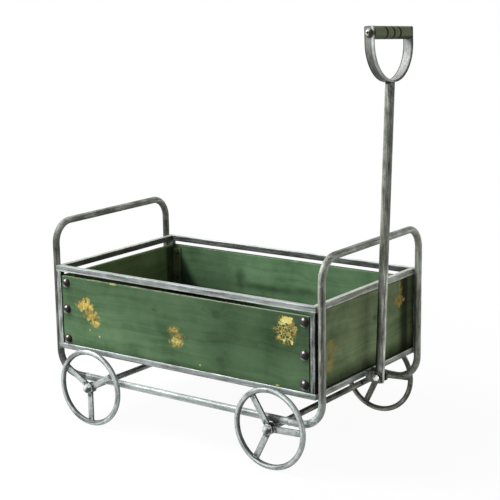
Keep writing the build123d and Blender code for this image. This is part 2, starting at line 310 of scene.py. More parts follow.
def hubShadowAndSoot(sheet, spot, facing):  # painted shadow of the hubs on the lower rails, with soot where the axles are welded under them
    along = sheet.part(spot, "X")
    stray = (sheet.noise(spot, 120.0, 3.0) - 0.5) * 0.014
    clearOfFront = (abs(along - middleOf("front_axle").x) + stray).step(0.006, 0.017)
    clearOfRear = (abs(along - middleOf("rear_axle").x) + stray).step(0.006, 0.017)
    return (0.22 + 0.78 * clearOfFront) * (0.72 + 0.28 * clearOfRear)


post = {"innerFace": (0.2563, 0.2567), "endFace": (0.2648, 0.2656)}  # from the cage's middle


def postFaceShade(sheet, spot, facing):  # painted shade on the narrow faces shut in behind the hoop legs, and on the inner faces
    fromMiddle = abs(sheet.part(spot, "X") - cageMiddle)
    inner = 1 - fromMiddle.step(*post["innerFace"])
    return 1 - 0.98 * fromMiddle.step(*post["endFace"]).most(inner)


wheel = {
    "near": (0.18, 1.0, "cool"),  # rub, shade and silver
    # the far wheels are darker as painted shade from the cart, with a duller silver
    "far": (-0.04, 0.9, "dull"),
    "rimBurn": (0.02, 0.011),  # soot at the ends of the spokes, in from the rim's outside
    "hubBurn": (0.013, 0.019),  # and out from the axle
}


def rimSidesAndShade(corner):  # painted shade on the inner side of the ring; the rolling face is darker than the flat sides
    middle = middleOf(corner + "_rim")

    def tone(sheet, spot, facing):
        away = sheet.dot(facing, sheet.vector("NORMALIZE", sheet.fromAxle(spot, middle)))
        return (1 - 0.78 * (0 - away).step(0.35, 0.85)) * (1 - 0.45 * away.step(0.8, 0.98))
    return tone


def spokeShadeAndBurn(corner):  # painted shade on the narrow sides, light flat faces, burnt where the spokes meet rim and hub
    low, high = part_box(corner + "_rim")
    middle = (low + high) / 2
    reach = (high.z - low.z) / 2

    def tone(sheet, spot, facing):
        away = sheet.length(sheet.fromAxle(spot, middle))
        rimStart, rimEnd = (reach - inward for inward in wheel["rimBurn"])
        burnt = away.step(rimStart, rimEnd).most(1 - away.step(*wheel["hubBurn"]))
        burnt = burnt * sheet.noise(spot, 210.0, 2.0).step(0.42, 0.56)
        flat = abs(sheet.dot(facing, (0.0, 1.0, 0.0))).step(0.45, 0.85)
        return (0.26 + 0.78 * flat) * (1 - 0.85 * burnt)
    return tone


pull = {
    "turnover": (0.24, 0.42),  # heights over which the painted light changes sides
    "dirty": (0.545, 0.59),  # and over which the smears set in
    "seam": 0.0016,  # below the bow's foot
    "bowLean": math.tan(math.radians(3.3)),
    "gripRoll": math.tan(math.radians(2.9)),
    "strapWidth": 0.016,
    "darkLines": (0.0056, 0.0066),  # along the strap, from its middle line
    "bareBand": (0.0034, 0.005),
    "footShade": (0.012, 0.055),  # heights above the bow's foot
    "armShade": (0.045, 0.065),
    "screwShadowOffset": Vector((0.0012, 0.0, 0.002)),  # how far the painted shadow lies from the screw
    "screwShadowReach": (0.0068, 0.008),
}


def pullLightAndSmears(sheet, spot, facing):  # painted light: lighter on one side low down and on the other higher up, with painted shade in the gap under the bow and dirt smears near the top
    height = sheet.part(spot, "Z")
    side = sheet.dot(facing, towardsFarFront)
    slant = sheet.dot(spot, (0.81, 0.586, 0.9)) * 330.0
    smears = sheet.noise(sheet.join(slant, height * 60.0, 0.0), 1.0, 3.0)
    dirt = height.step(*pull["dirty"]) * (smears - 0.38).step(0.0, 0.22) * (side + 0.5).step(0.0, 0.5)
    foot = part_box("handle_bow")[0].z
    seam = (height - (side * 0.0008 + (foot - pull["seam"]))).step(0.0, 0.0012) * (0.2 - side).step(0.0, 0.3)
    upper = height.step(*pull["turnover"])
    streak = (1 - abs(side - 0.45).step(0.1, 0.3)) * (1 - upper)
    rubbed = 1.36 - 0.56 * upper + side * (1.36 - 1.94 * upper) - 0.45 * streak
    return rubbed * (1 - 0.8 * dirt) * (1 - 0.9 * seam)


def bowFacesAndShade(sheet, spot, facing):  # bare and bright inside the bow, darker outside; cut edges painted light on the near arm and dark on the far one; painted shade near the foot and a painted shadow beside the screw head
    low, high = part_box("handle_bow")
    ahead, along, height = sheet.parts(spot)
    turnX, turnY, turnZ = sheet.parts(facing)
    inside = (0 - turnY * (along * 40.0).most(-1.0).least(1.0)).most(turnZ).step(0.2, 0.7)
    rise = height - low.z
    across = ahead - (high.x - pull["strapWidth"] / 2) + rise * pull["bowLean"]
    cutEdge = abs(turnX).step(0.5, 0.9)
    nearArm = 1 - along.step(-0.004, 0.004)
    lines = (0 - across).most(across * inside).step(*pull["darkLines"]) * (1 - cutEdge)
    band = across.step(*pull["bareBand"]) * nearArm * (1 - inside)
    lower = 1 - rise.step(*pull["footShade"])
    upper = rise.step(*pull["armShade"])
    streaky = sheet.noise(sheet.join(across * 900.0, along * 30.0, height * 30.0), 1.0, 3.0)
    outerFace = (0.48 - 0.14 * lower) * (1 - inside)
    innerFace = (1.16 - 0.14 * lower - 0.24 * upper - 30.0 * across) * inside
    level = outerFace + innerFace + 0.95 * band
    level = level * (1 - cutEdge) + (0.05 + 1.2 * nearArm) * cutEdge
    fromScrewShadow = sheet.length(sheet.fromAxle(spot, middleOf("grip_screws") + pull["screwShadowOffset"]))
    level = level * (1 - 0.88 * nearArm * (1 - inside) * (1 - fromScrewShadow.step(*pull["screwShadowReach"])))
    return level * (1 - 0.78 * lines) * (0.8 + 0.4 * streaky)


axle = {"bandAt": 0.103, "bandEdge": (0.0024, 0.0034)}  # from the middle, and half the band's width
hinge = {"headShadow": (0.007, 0.0082)}  # how far the painted shadows of bolt head and nuts reach
washer = {"nutShadow": (0.0066, 0.0076)}


def axleShadowBand(sheet, spot, facing):  # a painted shadow band across the axle
    return 1 - 0.98 * (1 - abs(sheet.part(spot, "Y") - axle["bandAt"]).step(*axle["bandEdge"]))


def plateEndShade(sheet, spot, facing):  # painted shade on the cut ends of the hinge plates, and a painted shadow beside the bolt head
    fromBolt = sheet.fromAxle(spot, middleOf("pivot_bolt"))
    ends = sheet.dot(facing, (1.0, 0.0, 0.0)).step(0.4, 0.8)
    upper = sheet.dot(fromBolt, (0.6, 0.0, 0.8)).step(0.0, 0.003)
    headShadow = upper * (1 - sheet.length(fromBolt).step(*hinge["headShadow"]))
    return (1 - 0.97 * ends) * (1 - 0.9 * headShadow)


def washerNutShadow(sheet, spot, facing):  # bright rims round the painted shadow that the nuts cast on the washers
    along, height = sheet.parts(spot, "XZ")
    front, rear = middleOf("front_axle"), middleOf("rear_axle")
    across = abs(along - (front.x + rear.x) / 2) - (front.x - rear.x) / 2
    return 0.16 + 0.84 * reachOf(across, height - front.z).step(*washer["nutShadow"])


def antiqueMetal(name, flow, rub=0.0, shade=1.0, silver="cool", topRub=0.0, tones=(), gloss=1.0,
                 contrast=1.0, sheen=0.3):
    material, sheet = newFinish(name)
    spot = sheet.spot()
    facing = spot.out("Normal")
    run = flow(sheet, spot)
    streaks = sheet.noise(run, 1.0, 3.0, 0.6)
    scratches = sheet.noise(run, 2.6, 2.0, 0.6)
    clouds = sheet.noise(spot, 31.0, 4.0, 0.6)
    grit = sheet.noise(spot, 520.0, 3.0, 0.7)
    rounded = sheet.rounded(pewter["edgeRadius"])
    brushed = streaks * 1.5 + scratches * 0.7 + clouds * 0.9 + grit * 0.5 - 1.8
    rubbed = (brushed * contrast + (rub + 0.53)).step(0.08, 0.92)
    rubbed = rubbed.most(sheet.edges(rounded) * (0.45 + grit * 0.6)).least(1.0)
    tone = shade * (1 + (clouds - 0.5) * (0.36 * contrast))
    # topRub rubs the top faces to more silver and makes them lighter or darker as painted light from above
    if topRub:
        topSide = sheet.dot(facing, skyward).step(0.75, 0.97)
        rubbed = (rubbed + topSide * 0.5).least(1.0)
        tone = tone + topSide * topRub
    for piece in tones:
        tone = tone * piece(sheet, spot, facing)
    bright = pewter[silver]
    if silver == "warm":  # cooler low down, near the wheels of the near side
        across, height = sheet.parts(spot, "YZ")
        upOrFar = height.step(0.1, 0.15).most(across.step(0.0, 0.06))
        bright = sheet.mix(upOrFar, pewter["cool"], pewter["warm"])
    colour = sheet.dim(sheet.mix(rubbed, pewter["under"], bright), tone)
    closeFinish(sheet, {
        "Base Color": colour,
        "Metallic": (0.08 + 0.22 * rubbed) * gloss,
        "Roughness": 0.6 - 0.12 * gloss - 0.14 * rubbed + 0.1 * grit,
        "Specular IOR Level": sheen,
    }, streaks * 0.5 + grit * 0.6, rounded, pewter["bumpDepth"], 0.5)
    return material


# cage
dress(antiqueMetal("near top rail metal", alongX, -0.02, 0.84, topRub=-0.1, contrast=0.55,
                   tones=[paleLowEdge]), "right_top_rail")
dress(antiqueMetal("side bar metal", alongX, 0.0, 0.81, contrast=0.55, tones=[highEdgeHighlight]),
      "right_bottom_rail", "left_bottom_rail")
# a darker copy, painted shade for the rail's inner face, its top lightened again as painted light
dress(antiqueMetal("far rail metal", alongX, -0.22, 0.56, topRub=1.3, contrast=0.7), "left_top_rail")
dress(antiqueMetal("front rail metal", alongY, -0.04, 0.92, "warm", 0.12, contrast=0.6, tones=[paleLowEdge]),
      "front_top_rail")
dress(antiqueMetal("end bar metal", alongY, -0.06, 0.9, "warm", 0.12, contrast=0.6, tones=[highEdgeHighlight]),
      "front_bottom_rail", "rear_bottom_rail")
# a darker copy, painted shade for the rail's inner face, its top lightened again as painted light
dress(antiqueMetal("rear rail metal", alongY, -0.3, 0.57, "warm", 0.9, contrast=0.7), "rear_top_rail")
dress(antiqueMetal("post metal", alongZ, 0.0, 0.96, tones=[postFaceShade]),
      "front_left_post", "rear_right_post", "rear_left_post")
# a darker copy: painted falloff of the light towards the front
dress(antiqueMetal("near front post metal", alongZ, -0.08, 0.86, tones=[postFaceShade], sheen=0.05),
      "front_right_post")
# wagon frame and hinge
dress(antiqueMetal("lower rail metal", alongX, 0.12, 0.94, contrast=0.7, tones=[hubShadowAndSoot, roundRailLight]),
      "right_lower_rail", "left_lower_rail")
dress(antiqueMetal("front hoop metal", hoopFlow, -0.04, 1.03, "warm", contrast=0.7,
                   tones=[paintedLightTowards(towardsNearRear, 0.12), hoopLegsPaintedLight]), "front_hoop")
dress(antiqueMetal("rear hoop metal", hoopFlow, -0.16, 0.74, "warm", contrast=0.8, gloss=0.6,
                   tones=[paintedLightTowards(towardsFarFront, 0.3), rearHoopBars]), "rear_hoop")
dress(antiqueMetal("front axle metal", alongY, -0.12, 0.9, "dull", tones=[axleShadowBand], sheen=0.05),
      "front_axle")
dress(antiqueMetal("rear axle metal", alongY, -0.08, 0.9), "rear_axle", "floor_bearers")
dress(antiqueMetal("hinge plate metal", alongZ, -0.14, 0.86, "dull", tones=[plateEndShade], sheen=0.05),
      "right_clevis_plate", "left_clevis_plate")
# pull
dress(antiqueMetal("pull tube metal", alongZ, -0.1, 0.88, "warm", tones=[pullLightAndSmears], contrast=0.8),
      "handle_tube")
dress(antiqueMetal("pull bow metal", alongZ, 0.08, 1.0, "bare", tones=[bowFacesAndShade], gloss=0.15, contrast=0.45),
      "handle_bow")
# wheels
for corner in corners:
    rub, shade, silver = wheel["near" if corner.endswith("right") else "far"]
    dress(antiqueMetal(corner + " rim metal", wheelFlow(corner, False), rub, shade, silver, contrast=1.2,
                       tones=[rimSidesAndShade(corner), mottled]), corner + "_rim")
    dress(antiqueMetal(corner + " spoke metal", wheelFlow(corner, True), rub, shade, silver,
                       tones=[spokeShadeAndBurn(corner), mottled]), corner + "_spokes", corner + "_hub")
dress(antiqueMetal("washer metal", anyWay, 0.3, 1.1, tones=[washerNutShadow]), "wheel_washers")
print("antique metal on the cage, hoops, wheels and pull")

# Boards: soft wood under a green wash, flaked to yellow in patches
wash = {
    "side": (paint(62, 84, 58), paint(86, 113, 82), paint(105, 133, 99)),  # dark, middle and light green
    # a lighter green for the far board, as painted light
    "inside": (paint(74, 101, 72), paint(102, 135, 100), paint(122, 155, 119)),
    "end": (paint(84, 101, 64), paint(113, 133, 93), paint(141, 157, 116)),
    # a lighter copy of the end wash, painted light on the front board
    "front": (paint(97, 112, 76), paint(130, 148, 109), paint(160, 173, 134)),
    "greenStops": (0.18, 0.48, 0.85),
    "knot": paint(60, 78, 54),
    # flakes from brown to pale
    "flakes": (paint(128, 102, 62), paint(194, 154, 84), paint(238, 214, 108), paint(253, 249, 170)),
    "frontFlakes": (paint(112, 88, 50), paint(172, 140, 74), paint(196, 170, 96), paint(226, 212, 142)),
    "flakeStops": (0.3, 0.44, 0.6, 0.82),
    "bareEdge": paint(196, 200, 146),
    "paleLip": paint(214, 222, 196),
    "edgeRadius": 0.0012,
    "bumpDepth": 0.0005,
}


class Board:  # one board's measures and noises, and the layers of its finish
    def __init__(self, sheet, piece, run, outward, knots):
        axis, sign, plane = outward
        self.sheet = sheet
        self.plane = plane
        self.lowEdge, self.highEdge = (edge.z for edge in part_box(piece))
        self.spot = sheet.spot()
        x, y, z = sheet.parts(self.spot)
        fromMiddle = x - cageMiddle
        self.across = fromMiddle if run == "X" else y
        self.up = z if axis != "Z" else y
        self.depth = {"X": fromMiddle, "Y": y, "Z": z}[axis] * sign
        self.outside = self.depth.step(plane - 0.0012, plane - 0.0006)
        self.clouds = sheet.noise(self.spot, 17.0, 5.0, 0.6)
        self.grit = sheet.noise(self.spot, 380.0, 3.0, 0.7)
        self.flakes = sheet.noise(self.spot, 165.0, 6.0, 0.72)
        self.shapes = sheet.noise(self.spot, 62.0, 4.0, 0.6)
        self.stray = self.shapes - 0.5
        self.growKnots(knots)
        self.grain = self.alongGrain(5.0, 150.0, 4.0, 0.6)
        self.veins = self.alongGrain(2.2, 46.0, 2.0, 0.55)

    def growKnots(self, knots):  # dark knots, and the height that the grain follows round them
        self.knotDark = 0.0
        bend = self.sheet.noise(self.spot, 9.0, 2.0) * 0.022
        for u, v, size in knots:
            away = reachOf((self.across - u) * 0.8, self.up - v)
            near = 1 - away.step(size * 0.4, size * 2.6)
            bend = bend + near * (size * 1.3)
            core = (1 - away.step(size * 0.35, size)) * 0.8
            rings = away.math("SINE", away * (46.0 / size)) * 0.5 + 0.5
            self.knotDark = (core + near * rings * 0.35).least(1.0).most(self.knotDark)
        self.bent = self.up + bend

    def alongGrain(self, length, width, detail, roughness):
        run = self.sheet.join(self.across * length, self.bent * width, self.depth * width)
        return self.sheet.noise(run, 1.0, detail, roughness)

    def away(self, u, v, halfWidth, halfHeight):  # 1 on the line round a mark
        return reachOf((self.across - u) / halfWidth, (self.up - v) / halfHeight)

    def washed(self, tint):
        tone = self.clouds + self.grain * 0.42 + self.veins * 0.32 - 0.37
        colour = self.sheet.ramp(tone, list(zip(wash["greenStops"], tint)))
        colour = self.sheet.dim(colour, 0.9 + 0.2 * self.grain)
        return self.sheet.mix(self.knotDark * self.outside * 0.5, colour, wash["knot"])

    def smudged(self, colour, smudges):  # dark blots on the inside faces
        for u, v, halfWidth, halfHeight, level in smudges:
            field = 1.2 - self.away(u, v, halfWidth, halfHeight) + self.stray + (self.grain - 0.5) * 2.4
            colour = self.sheet.dim(colour, 1 - field.step(0.0, 1.1) * (1 - self.outside) * level)
        return colour

    def shaded(self, colour, rows, face):  # darker from one line over the board to another
        for acrossPart, upPart, start, finish, level, *fade in rows:
            reach = acrossPart * self.across + upPart * (self.up - self.highEdge)
            reach = reach + self.stray * (0.4 * abs(finish - start))
            amount = reach.step(start, finish) * face * level
            if fade:
                amount = amount * self.across.step(*fade)
            colour = self.sheet.dim(colour, 1 - amount)
        return colour

    def lowLightAndSoil(self, colour):  # paler low down as painted light, with soil along the foot
        high = self.up - self.lowEdge
        colour = self.sheet.dim(colour, 1.24 - 0.26 * high.step(0.02, 0.1))
        soil = 1 - (high + self.stray * 0.02).step(0.0, 0.012)
        return self.sheet.dim(colour, 1 - 0.25 * soil * self.outside)

    def flaked(self, colour, marks, flakeTints):  # patches broken up by a lace of holes, and specks
        sheet = self.sheet
        tints = sheet.noise(sheet.vector("ADD", self.spot, (0.2, 0.4, 0.6)), 150.0, 4.0, 0.65)
        ragged = sheet.vector("ADD", self.spot, sheet.dim(self.flakes.out("Color"), 0.008))
        cells = sheet.add("TexVoronoi", {"Vector": ragged, "Scale": 170.0}, {"feature": "DISTANCE_TO_EDGE"})
        holes = (cells + self.stray * 0.3).step(0.03, 0.11)
        bare = (self.flakes + self.grit * 0.15).step(0.8, 0.84) * self.outside * 0.8
        yellow = tints
        for u, v, halfWidth, halfHeight, amount, pale, lace, soft in marks:
            field = amount - self.away(u, v, halfWidth, halfHeight)
            field = field + (self.flakes - 0.5) * 2.6 + self.stray * 0.5
            patch = field.step(-soft, 0.25 + soft) * self.outside * (1 - holes * lace) * (1 - 0.4 * soft)
            bare = bare.most(patch)
            yellow = yellow + patch * (tints + pale - yellow)
        flakeColour = sheet.ramp(yellow, list(zip(wash["flakeStops"], flakeTints)))
        return sheet.mix(bare * 0.94, colour, flakeColour), bare

    def lipAndRailShade(self, colour):  # a pale worn lip, and painted shade on the flat top behind it, in the gap under the rail
        sheet, across = self.sheet, self.across
        flatTop = sheet.dot(self.spot.out("Normal"), skyward).step(0.8, 0.95)
        lip = self.depth.step(self.plane - 0.0064, self.plane - 0.005)
        colour = sheet.dim(colour, 1 - flatTop * (1 - lip) * (0.98 - 0.4 * across.step(0.08, 0.2)))
        streaks = sheet.noise(sheet.join(across * 26.0, 0.0, 0.0), 1.0, 3.0) + across * 0.6
        return sheet.mix(flatTop * lip * (0.25 + 0.75 * streaks.step(0.36, 0.56)), colour, wash["paleLip"])

    def worn(self, colour, rounded, edgeWear):  # bare wood along the edges
        topRub = (self.up - self.highEdge + 0.001 + self.stray * 0.004).step(0.0, 0.0012)
        bare = self.sheet.edges(rounded) * (self.clouds + self.grit - 0.8).step(0.1, 0.5)
        bare = bare.most(topRub * (self.shapes + self.flakes - 0.98).step(0.0, 0.3))
        return self.sheet.mix(bare.least(1.0) * edgeWear, colour, wash["bareEdge"])


def greenBoard(name, piece, tint, run, outward, marks=(), knots=(), smudges=(), shades=(), insideShades=(),
               edgeWear=0.4, flakeTints=wash["flakes"], railShadedTop=False):
    material, sheet = newFinish(name)
    board = Board(sheet, piece, run, outward, knots)
    colour = board.smudged(board.washed(tint), smudges)
    colour = board.shaded(colour, shades, board.outside)
    colour = board.shaded(colour, insideShades, 1 - board.outside)
    colour, flaked = board.flaked(board.lowLightAndSoil(colour), marks, flakeTints)
    if railShadedTop:
        colour = board.lipAndRailShade(colour)
    rounded = sheet.rounded(wash["edgeRadius"])
    closeFinish(sheet, {
        "Base Color": board.worn(colour, rounded, edgeWear),
        "Roughness": 0.65 + 0.18 * flaked + 0.12 * board.grain,
        "Specular IOR Level": 0.02,
    }, board.grain * 0.6 + board.grit * 0.3 - flaked * 0.7, rounded, wash["bumpDepth"], 0.55)
    return material


# One dictionary for each board. Its rows are
#   marks, where the wash has flaked: across, up, half width, half height, amount, paleness, lace, softness
#   knots: across, up, size; smudges: across, up, half width, half height, how dark
#   shades, from one line over the board to another: part of the way across, part of the height below
#   the top edge, start, finish, how dark, and for one that fades, where along the board it sets in
# most shades and inside shades below paint light and shade into the wash
sideFace = -boardLow.y
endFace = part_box("front_end_board")[1].x - cageMiddle
# darker towards the floor on the inside
darkerLowInside = [(0.0, 1.0, -0.085, -0.118, 0.6)]
nearSide = {
    "tint": wash["side"],
    "run": "X",
    "outward": ("Y", -1.0, sideFace),
    "marks": [
        (-0.203, 0.207, 0.019, 0.008, 1.1, 0.0, 0.25, 0.05),
        (-0.206, 0.2155, 0.006, 0.006, 0.8, 0.04, 0.4, 0.1),
        (-0.196, 0.217, 0.006, 0.008, 0.9, 0.06, 0.3, 0.1),
        (-0.212, 0.199, 0.007, 0.006, 0.8, 0.0, 0.5, 0.1),
        (-0.193, 0.198, 0.013, 0.006, 0.85, -0.1, 0.6, 0.1),
        (-0.189, 0.1905, 0.019, 0.0065, 1.0, -0.12, 0.45, 0.1),
        (-0.18, 0.197, 0.005, 0.006, 0.8, -0.04, 0.4, 0.1),
        (-0.181, 0.181, 0.011, 0.008, 1.0, 0.0, 0.35, 0.1),
        (-0.197, 0.184, 0.005, 0.004, 0.85, 0.08, 0.2, 0.1),
        (0.211, 0.227, 0.021, 0.01, 0.95, 0.22, 0.95, 0.3),
        (0.21, 0.214, 0.019, 0.01, 0.9, 0.22, 0.95, 0.3),
        (0.228, 0.229, 0.006, 0.009, 0.8, 0.1, 0.5, 0.1),
        (0.206, 0.237, 0.01, 0.004, 0.8, 0.2, 0.4, 0.0),
        (0.214, 0.2435, 0.013, 0.0065, 1.1, 0.26, 0.05, 0.0),
        (0.222, 0.236, 0.0045, 0.004, 0.95, -0.04, 0.0, 0.2),
        (0.2065, 0.2258, 0.0045, 0.0026, 0.9, -0.06, 0.0, 0.3),
        (0.2163, 0.2209, 0.005, 0.003, 0.9, -0.06, 0.0, 0.3),
        (0.2286, 0.2239, 0.003, 0.005, 0.85, -0.06, 0.0, 0.3),
        (0.199, 0.2141, 0.004, 0.0036, 0.85, -0.04, 0.0, 0.3),
        (0.2088, 0.2106, 0.0042, 0.0028, 0.9, 0.2, 0.2, 0.1),
        (0.2222, 0.209, 0.0034, 0.004, 0.95, 0.26, 0.0, 0.1),
        (-0.009, 0.194, 0.012, 0.008, 0.85, 0.02, 0.5, 0.3),
        (-0.001, 0.186, 0.015, 0.005, 0.85, -0.22, 0.3, 0.3),
        (-0.004, 0.175, 0.016, 0.01, 0.85, 0.12, 0.4, 0.3),
        (-0.194, 0.166, 0.0014, 0.0014, 1.1, 0.2, 0.0, 0.6),
        (-0.172, 0.157, 0.0018, 0.0018, 1.1, 0.25, 0.0, 0.5),
        (-0.14, 0.253, 0.007, 0.0006, 1.0, 0.2, 0.0, 0.6),
        (0.194, 0.1365, 0.0032, 0.0016, 1.0, 0.2, 0.0, 0.4),
        (0.0435, 0.1435, 0.0016, 0.0016, 1.1, 0.15, 0.0, 0.5),
    ],
    "knots": [(0.078, 0.233, 0.01), (0.084, 0.157, 0.009), (-0.05, 0.222, 0.005)],
    "shades": [
        # painted falloff of the light towards the front end, then painted shade in the gaps beside the posts
        (1.0, 0.0, -0.14, 0.0, 0.16),
        (1.0, 0.0, 0.02, 0.09, 0.14),
        (1.0, 0.0, 0.253, 0.2546, 0.9),
        (-1.0, 0.0, 0.2536, 0.255, 0.7),
    ],
    "insideShades": darkerLowInside,
    "railShadedTop": True,
}
farSide = {
    "tint": wash["inside"],
    "run": "X",
    "outward": ("Y", 1.0, sideFace),
    "marks": [
        (0.19, 0.2, 0.02, 0.022, 0.8, 0.0, 0.3, 0.0),
        (-0.21, 0.225, 0.022, 0.014, 0.85, 0.1, 0.6, 0.0),
    ],
    "knots": [(-0.09, 0.17, 0.009), (0.06, 0.228, 0.007)],
    "smudges": [
        (-0.098, 0.205, 0.014, 0.022, 0.5),
        (-0.03, 0.197, 0.1, 0.007, 0.4),
        (0.045, 0.201, 0.028, 0.008, 0.4),
    ],
    "insideShades": [
        # painted shade: the rear board's cast shadow along a slanted line, darker low down and towards both
        # ends, near black low inside
        (1.0, 0.61, -0.234, -0.256, 0.78),
        (0.0, 1.0, -0.03, -0.065, 0.3),
        (1.0, 0.0, -0.06, -0.14, 0.36),
        (1.0, 0.0, 0.04, 0.12, 0.2),
        (0.0, 1.0, -0.07, -0.08, 0.9, 0.0, -0.08),
    ] + darkerLowInside,
}
frontEnd = {
    "tint": wash["front"],
    "run": "Y",
    "outward": ("X", 1.0, endFace),
    "marks": [
        (0.099, 0.254, 0.004, 0.008, 1.0, 0.05, 0.3, 0.1),
        (0.102, 0.242, 0.008, 0.006, 0.95, 0.0, 0.5, 0.1),
        (0.097, 0.2265, 0.014, 0.01, 1.05, 0.0, 0.25, 0.1),
        (0.112, 0.225, 0.005, 0.005, 0.8, 0.2, 0.3, 0.1),
        (-0.115, 0.2, 0.011, 0.009, 0.95, 0.02, 0.3, 0.5),
        (-0.101, 0.192, 0.009, 0.006, 0.8, 0.1, 0.4, 0.4),
        (-0.116, 0.18, 0.011, 0.01, 1.0, -0.08, 0.2, 0.35),
        (-0.117, 0.168, 0.01, 0.008, 1.0, 0.12, 0.2, 0.35),
    ],
    "knots": [(0.02, 0.215, 0.008)],
    "shades": [
        # painted shade: darker towards the far end, where the far hoop leg casts its shadow, lighter again in
        # the last strip, and painted shade along the foot
        (1.0, 0.0, 0.03, 0.075, 0.2),
        (1.0, 0.0, 0.09, 0.112, 0.86),
        (1.0, 0.0, 0.122, 0.128, -1.8),
        (0.0, 1.0, -0.092, -0.122, 0.76),
        (0.0, 1.0, -0.1205, -0.125, 0.9),
    ],
    "insideShades": darkerLowInside,
    "flakeTints": wash["frontFlakes"],
}
rearEnd = {
    "tint": wash["end"],
    "run": "Y",
    "outward": ("X", -1.0, endFace),
    "marks": [
        (-0.09, 0.22, 0.016, 0.018, 0.8, 0.0, 0.3, 0.0),
        (0.08, 0.17, 0.014, 0.016, 0.75, 0.1, 0.5, 0.0),
    ],
    "knots": [(-0.03, 0.18, 0.008)],
    "insideShades": [
        # painted shade: darker towards the far corner and low down, near black below a slanted line seen
        # through the gap under the near rail
        (1.0, -2.5, 0.07, 0.24, 0.34),
        (0.27, 1.0, -0.0285, -0.0365, 0.6),
        (0.27, 1.0, -0.0365, -0.06, 0.55),
    ],
}
boxFloor = {
    "tint": wash["end"],
    "run": "X",
    "outward": ("Z", -1.0, -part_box("floor_board")[0].z),
    "smudges": [
        (-0.16, -0.06, 0.07, 0.05, 0.5),
        (0.05, 0.08, 0.09, 0.04, 0.5),
        (0.17, -0.07, 0.06, 0.05, 0.5),
    ],
    "insideShades": [(0.0, 0.0, -1.0, -0.5, 0.5)],
}
cornerSteel = {"tint": wash["side"], "run": "Y", "outward": ("Z", -1.0, 0.0), "edgeWear": 0.0}
shadedSteel = {
    "tint": wash["end"],
    "run": "X",
    "outward": ("Y", 1.0, 1.0),
    # painted shade: the same cast shadow and low shade as on the far board's inside
    "insideShades": [
        (1.0, 0.61, -0.226, -0.25, 0.74),
        (0.0, 1.0, -0.03, -0.065, 0.3),
        (0.0, 1.0, -0.07, -0.08, 0.7),
    ],
    "edgeWear": 0.0,
}
for name, piece, board in (
        ("near side board", "right_side_board", nearSide),
        ("far side board", "left_side_board", farSide),
        ("front end board", "front_end_board", frontEnd),
        ("rear end board", "rear_end_board", rearEnd),
        ("floor of the box", "floor_board", boxFloor)):
    dress(greenBoard(name, piece, **board), piece)
dress(greenBoard("green corner steel", "front_right_angle", **cornerSteel),
      "front_right_angle", "front_left_angle", "rear_right_angle", "right_bolt_nuts")
dress(greenBoard("shaded corner steel", "rear_left_angle", **shadedSteel),
      "rear_left_angle", "left_bolt_nuts")
print("green wash on the boards and corner angles")

# Fasteners
bolt = {
    "dark": paint(40, 36, 32),
    "brown": paint(84, 76, 70),
    "pewter": paint(88, 92, 88),
    # colour of the painted floor reflection on the domes' lower rims
    "rim": paint(226, 228, 224),
    "insideEnd": paint(42, 52, 34),  # of the ends inside the box, under the wash
    # colour of the painted highlight on the domes' crowns
    "steel": paint(240, 240, 236),
    "nutDark": paint(180, 185, 183),
    "nut": paint(234, 238, 236),
    "screwDark": paint(176, 179, 156),
    "screw": paint(238, 240, 224),
    "pivotDark": paint(232, 234, 231),
    "pivot": paint(252, 253, 250),
    "edgeRadius": 0.0006,
    "bumpDepth": 0.0002,
    "boardInside": (0.146, 0.15),  # from the middle, across the inner face of a side board
    "slotReach": (0.0028, 0.003),  # half the length of a screw's slots
}


def domeMetal(name, dark, rearShade, frontShade):  # painted highlight on the crown, painted reflection of the floor along the lower rim, painted shade on the side away from the light
    material, sheet = newFinish(name)
    spot = sheet.spot()
    turnX, turnY, turnZ = sheet.parts(spot.out("Normal"))
    facing = sheet.join(turnX, 0 - abs(turnY), turnZ)  # both sides as the near one
    along, across = sheet.parts(spot, "XY")
    frontEnds = along.step(-0.05, 0.05)
    clouds = sheet.noise(spot, 240.0, 4.0, 0.6)
    grit = sheet.noise(spot, 900.0, 3.0, 0.6)
    shade = sheet.mix(frontEnds, rearShade, frontShade)
    colour = sheet.mix((clouds * 1.2 + grit * 0.4 - 0.45).step(0.1, 0.7), dark, shade)
    rimReflection = (sheet.dot(facing, (-0.25, -0.3, -0.92)) - frontEnds * 0.12).step(0.5, 0.82)
    shadedSide = sheet.dot(facing, (0.93, -0.2, -0.3)).step(0.2, 0.75)
    crownHighlight = (sheet.dot(facing, (0.06, -0.84, 0.53)) + (clouds - 0.5) * 0.02).step(0.958, 0.995)
    colour = sheet.dim(sheet.mix(rimReflection * 0.85, colour, bolt["rim"]), 1 - 0.8 * shadedSide)
    colour = sheet.mix(crownHighlight, colour, bolt["steel"])
    insideEnd = 1 - abs(across).step(*bolt["boardInside"])
    lip = sheet.join(-0.2, turnY * 2.0, 0.4)  # the rim is turned out a little
    outward = sheet.mix(rimReflection * 0.9, sheet.rounded(bolt["edgeRadius"]), lip)
    closeFinish(sheet, {
        "Base Color": sheet.mix(insideEnd, colour, bolt["insideEnd"]),
        "Roughness": 0.28 + 0.2 * grit,
        "Specular IOR Level": 0.15,
    }, clouds * 0.4 + grit * 0.4, sheet.vector("NORMALIZE", outward), bolt["bumpDepth"], 0.5)
    return material


def screwSlotShade(sheet, spot, facing):  # painted shade in the cross slots and on the side away from the light
    middle = middleOf("grip_screws")
    across, along, up = sheet.parts(sheet.vector("SUBTRACT", spot, middle))
    up = up + along * pull["gripRoll"]
    deep = (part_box("grip_screws")[1].y - middle.y) - abs(along)
    slot = deep.step(0.0006, 0.0009) * (1 - reachOf(across, up).step(*bolt["slotReach"]))
    return (1 - 0.97 * slot) * (1 - 0.9 * sheet.dot(facing, (0.98, 0.0, -0.2)).step(0.05, 0.45))


